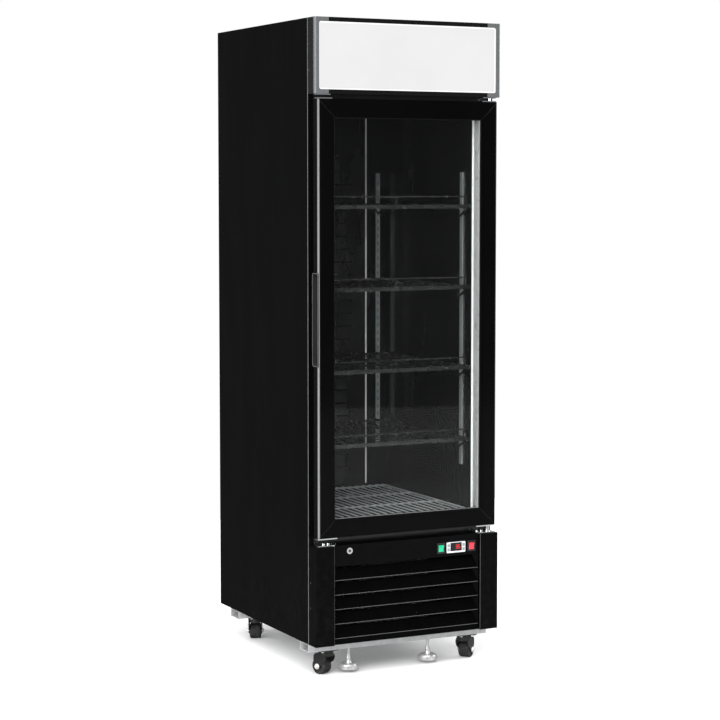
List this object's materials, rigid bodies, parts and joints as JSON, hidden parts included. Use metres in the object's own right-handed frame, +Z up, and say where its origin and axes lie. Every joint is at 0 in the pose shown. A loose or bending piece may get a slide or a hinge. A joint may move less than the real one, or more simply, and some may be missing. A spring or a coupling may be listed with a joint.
{
  "type": "glass door merchandiser",
  "caption": "Upright refrigerated display cabinet with a hinged double glazed door, wire shelves, a lit canopy, a louvred plinth with controls, castors and levelling feet.",
  "frame": {"origin": "on the floor under the middle of the cabinet", "axes": "+Z up, the door faces -Y, +X to the right when facing the door"},
  "size_m": [0.63, 0.735, 1.977],
  "materials": {
    "black_steel": "satin black powder coat",
    "back_steel": "satin dark powder coat",
    "zinc_steel": "galvanised",
    "black_plastic": "fine grained",
    "gloss_black": "gloss black",
    "cap_grey": "satin",
    "sign_white": "opal acrylic",
    "led_white": "diffuser",
    "bright_steel": "plated",
    "foam_yellow": "rigid foam",
    "liner_black": "gloss",
    "lamp_grey": "ribbed satin",
    "standard_steel": "galvanised",
    "wire_black": "plastic coated",
    "wire_grey": "plastic coated",
    "duct_black": "satin",
    "coil_aluminium": "finned",
    "fan_black": "satin",
    "compressor_black": "gloss",
    "castor_black": "satin",
    "wheel_rubber": "matt",
    "seal_rubber": "matt",
    "grip_black": "satin",
    "door_glass": "clear",
    "controller_grey": "satin",
    "button_grey": "satin",
    "display_black": "gloss",
    "green_lens": "translucent",
    "red_lens": "translucent"
  },
  "bodies": {
    "cabinet": {"side_panels": "black_steel", "back_panel": "back_steel", "roof_panel": "black_steel", "rear_grille": "back_steel", "base_tray": "zinc_steel", "base_rails": "zinc_steel", "corner_posts": "black_steel", "louvre_panel": "black_plastic", "control_strip": "black_steel", "lock_case": "bright_steel", "switch_bezels": "black_plastic", "controller_case": "controller_grey", "display_window": "display_black", "canopy_box": "gloss_black", "canopy_end_caps": "cap_grey", "canopy_sign": "sign_white", "canopy_led_bars": "led_white", "case_screws": "bright_steel", "foam_core": "foam_yellow", "liner": "liner_black", "led_profiles": "lamp_grey", "shelf_standards": "standard_steel", "shelf_clips": "wire_black", "duct_panel": "duct_black", "evaporator_coil": "coil_aluminium", "compressor": "compressor_black", "condenser": "coil_aluminium", "cable_gland": "black_plastic", "hinge_brackets": "bright_steel", "castor_plates": "castor_black"},
    "door": {"door_frame": "gloss_black", "glass_panes": "door_glass", "glass_spacer": "black_plastic", "gasket": "seal_rubber", "door_grip": "grip_black", "door_hinge_plates": "bright_steel"},
    "lock_barrel": {"lock_barrel": "bright_steel"},
    "green_rocker": {"green_rocker": "green_lens"},
    "red_rocker": {"red_rocker": "red_lens"},
    "button_up": {"button_up": "button_grey"},
    "button_down": {"button_down": "button_grey"},
    "button_set": {"button_set": "button_grey"},
    "button_light": {"button_light": "button_grey"},
    "evaporator_fan": {"evaporator_fan": "fan_black"},
    "condenser_fan": {"condenser_fan": "fan_black"},
    "castor_fork_1": {"castor_fork_1": "castor_black"},
    "castor_fork_2": {"castor_fork_2": "castor_black"},
    "castor_fork_3": {"castor_fork_3": "castor_black"},
    "castor_fork_4": {"castor_fork_4": "castor_black"},
    "castor_wheel_1": {"castor_wheel_1": "wheel_rubber"},
    "castor_wheel_2": {"castor_wheel_2": "wheel_rubber"},
    "castor_wheel_3": {"castor_wheel_3": "wheel_rubber"},
    "castor_wheel_4": {"castor_wheel_4": "wheel_rubber"},
    "foot_left": {"foot_left": "bright_steel"},
    "foot_right": {"foot_right": "bright_steel"},
    "shelf_1": {"shelf_1": "wire_black"},
    "shelf_2": {"shelf_2": "wire_black"},
    "shelf_3": {"shelf_3": "wire_black"},
    "shelf_4": {"shelf_4": "wire_black"},
    "floor_rack": {"floor_rack": "wire_grey"}
  },
  "joints": [
    {"name": "door_hinge", "type": "hinge", "parent": "cabinet", "child": "door", "pos_m": [0.289, -0.3445, 1.085], "axis": [0, 0, 1], "range_deg": [0, 110]},
    {"name": "lock_turn", "type": "hinge", "parent": "cabinet", "child": "lock_barrel", "pos_m": [-0.197, -0.3575, 0.388], "axis": [0, 1, 0], "range_deg": [0, 90]},
    {"name": "green_switch", "type": "hinge", "parent": "cabinet", "child": "green_rocker", "pos_m": [0.117, -0.3555, 0.37], "axis": [1, 0, 0], "range_deg": [-18, 0]},
    {"name": "red_switch", "type": "hinge", "parent": "cabinet", "child": "red_rocker", "pos_m": [0.224, -0.3555, 0.37], "axis": [1, 0, 0], "range_deg": [-18, 0]},
    {"name": "press_up", "type": "slide", "parent": "cabinet", "child": "button_up", "axis": [0, 1, 0], "range_m": [0, 0.0008], "stiffness_N_per_m": 400},
    {"name": "press_down", "type": "slide", "parent": "cabinet", "child": "button_down", "axis": [0, 1, 0], "range_m": [0, 0.0008], "stiffness_N_per_m": 400},
    {"name": "press_set", "type": "slide", "parent": "cabinet", "child": "button_set", "axis": [0, 1, 0], "range_m": [0, 0.0008], "stiffness_N_per_m": 400},
    {"name": "press_light", "type": "slide", "parent": "cabinet", "child": "button_light", "axis": [0, 1, 0], "range_m": [0, 0.0008], "stiffness_N_per_m": 400},
    {"name": "condenser_fan_spin", "type": "hinge", "parent": "cabinet", "child": "condenser_fan", "pos_m": [-0.02, -0.2055, 0.235], "axis": [0, 1, 0], "continuous": true},
    {"name": "evaporator_fan_spin", "type": "hinge", "parent": "cabinet", "child": "evaporator_fan", "pos_m": [0, 0.177, 1.81625], "axis": [0, 1, 0], "continuous": true},
    {"name": "castor_1_swivel", "type": "hinge", "parent": "cabinet", "child": "castor_fork_1", "pos_m": [-0.241, -0.2845, 0.06], "axis": [0, 0, 1], "continuous": true},
    {"name": "castor_2_swivel", "type": "hinge", "parent": "cabinet", "child": "castor_fork_2", "pos_m": [0.241, -0.2845, 0.06], "axis": [0, 0, 1], "continuous": true},
    {"name": "castor_3_swivel", "type": "hinge", "parent": "cabinet", "child": "castor_fork_3", "pos_m": [-0.241, 0.2515, 0.06], "axis": [0, 0, 1], "continuous": true},
    {"name": "castor_4_swivel", "type": "hinge", "parent": "cabinet", "child": "castor_fork_4", "pos_m": [0.241, 0.2515, 0.06], "axis": [0, 0, 1], "continuous": true},
    {"name": "castor_1_roll", "type": "hinge", "parent": "castor_fork_1", "child": "castor_wheel_1", "pos_m": [-0.24764, -0.26885, 0.025], "axis": [0.9205, 0.3907, 0], "continuous": true},
    {"name": "castor_2_roll", "type": "hinge", "parent": "castor_fork_2", "child": "castor_wheel_2", "pos_m": [0.2544, -0.27403, 0.025], "axis": [0.6157, -0.788, 0], "continuous": true},
    {"name": "castor_3_roll", "type": "hinge", "parent": "castor_fork_3", "child": "castor_wheel_3", "pos_m": [-0.23328, 0.26665, 0.025], "axis": [0.891, -0.454, 0], "continuous": true},
    {"name": "castor_4_roll", "type": "hinge", "parent": "castor_fork_4", "child": "castor_wheel_4", "pos_m": [0.23053, 0.2649, 0.025], "axis": [0.788, 0.6157, 0], "continuous": true},
    {"name": "foot_left_screw", "type": "slide", "parent": "cabinet", "child": "foot_left", "axis": [0, 0, 1], "range_m": [-0.011, 0.01]},
    {"name": "foot_right_screw", "type": "slide", "parent": "cabinet", "child": "foot_right", "axis": [0, 0, 1], "range_m": [-0.011, 0.01]},
    {"name": "shelf_1_lift", "type": "slide", "parent": "cabinet", "child": "shelf_1", "axis": [0, 0, 1], "range_m": [0, 0.03]},
    {"name": "shelf_2_lift", "type": "slide", "parent": "cabinet", "child": "shelf_2", "axis": [0, 0, 1], "range_m": [0, 0.03]},
    {"name": "shelf_3_lift", "type": "slide", "parent": "cabinet", "child": "shelf_3", "axis": [0, 0, 1], "range_m": [0, 0.03]},
    {"name": "shelf_4_lift", "type": "slide", "parent": "cabinet", "child": "shelf_4", "axis": [0, 0, 1], "range_m": [0, 0.03]},
    {"name": "floor_rack_lift", "type": "slide", "parent": "cabinet", "child": "floor_rack", "axis": [0, 0, 1], "range_m": [0, 0.03]}
  ]
}
